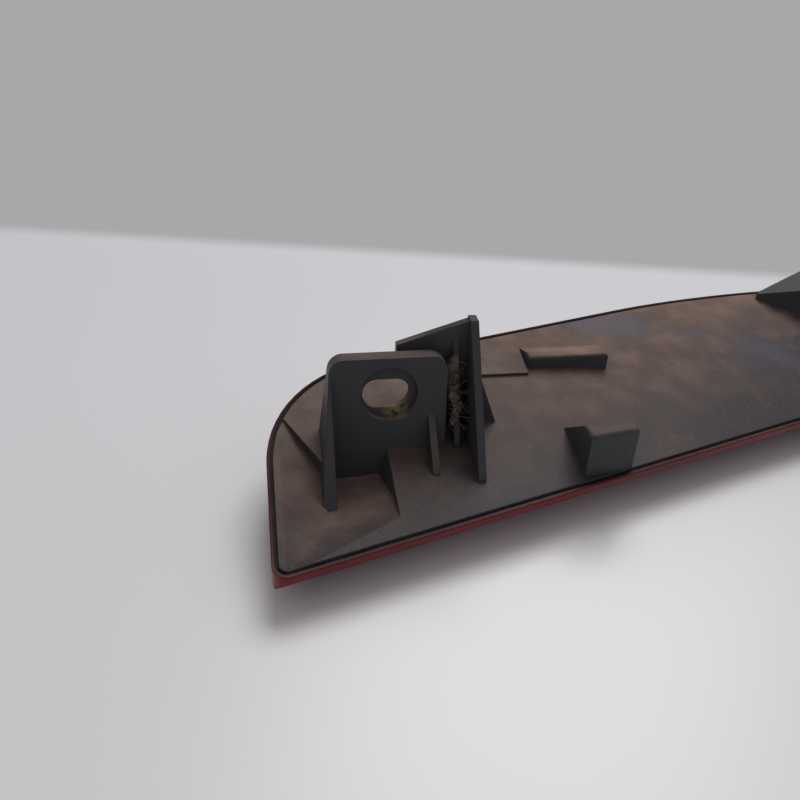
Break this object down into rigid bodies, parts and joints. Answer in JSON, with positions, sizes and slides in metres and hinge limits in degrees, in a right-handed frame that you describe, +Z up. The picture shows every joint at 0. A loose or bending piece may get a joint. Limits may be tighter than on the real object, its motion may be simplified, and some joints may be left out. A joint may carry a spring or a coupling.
{
  "type": "third brake light",
  "caption": "Swept third brake light for a car, dark moulded back with ribbed fixing tabs and a red lens.",
  "frame": {"origin": "centre of the bounding box's footprint, on the surface the lens lies on", "axes": "+X along the lamp, +Y across it towards the far, tall edge, +Z up out of its back"},
  "size_m": [0.247, 0.0674, 0.0282],
  "materials": {
    "housing_black": "satin",
    "lens_red": "polished",
    "bead_black": "polished",
    "tray_white": "satin",
    "optic_clear": "polished",
    "board_green": "satin",
    "led_body": "satin",
    "chip_black": "matte",
    "chip_tan": "satin",
    "screw_steel": "satin",
    "seal_rubber": "matte",
    "socket_black": "satin",
    "terminal_tin": "satin",
    "membrane_white": "matte"
  },
  "bodies": {
    "root": {"housing": "housing_black", "lens": "lens_red", "weld_bead": "bead_black", "reflector_tray": "tray_white", "inner_optic": "optic_clear", "led_board": "board_green", "led_01": "led_body", "led_02": "led_body", "led_03": "led_body", "led_04": "led_body", "led_05": "led_body", "led_06": "led_body", "led_07": "led_body", "led_08": "led_body", "led_09": "led_body", "led_10": "led_body", "led_11": "led_body", "led_12": "led_body", "resistors": "chip_black", "protection_diode": "chip_black", "filter_capacitor": "chip_tan", "board_screws": "screw_steel", "connector_seal": "seal_rubber", "connector_socket": "socket_black", "terminal_positive": "terminal_tin", "terminal_ground": "terminal_tin", "vent_cap": "socket_black", "vent_membrane": "membrane_white"}
  },
  "joints": []
}
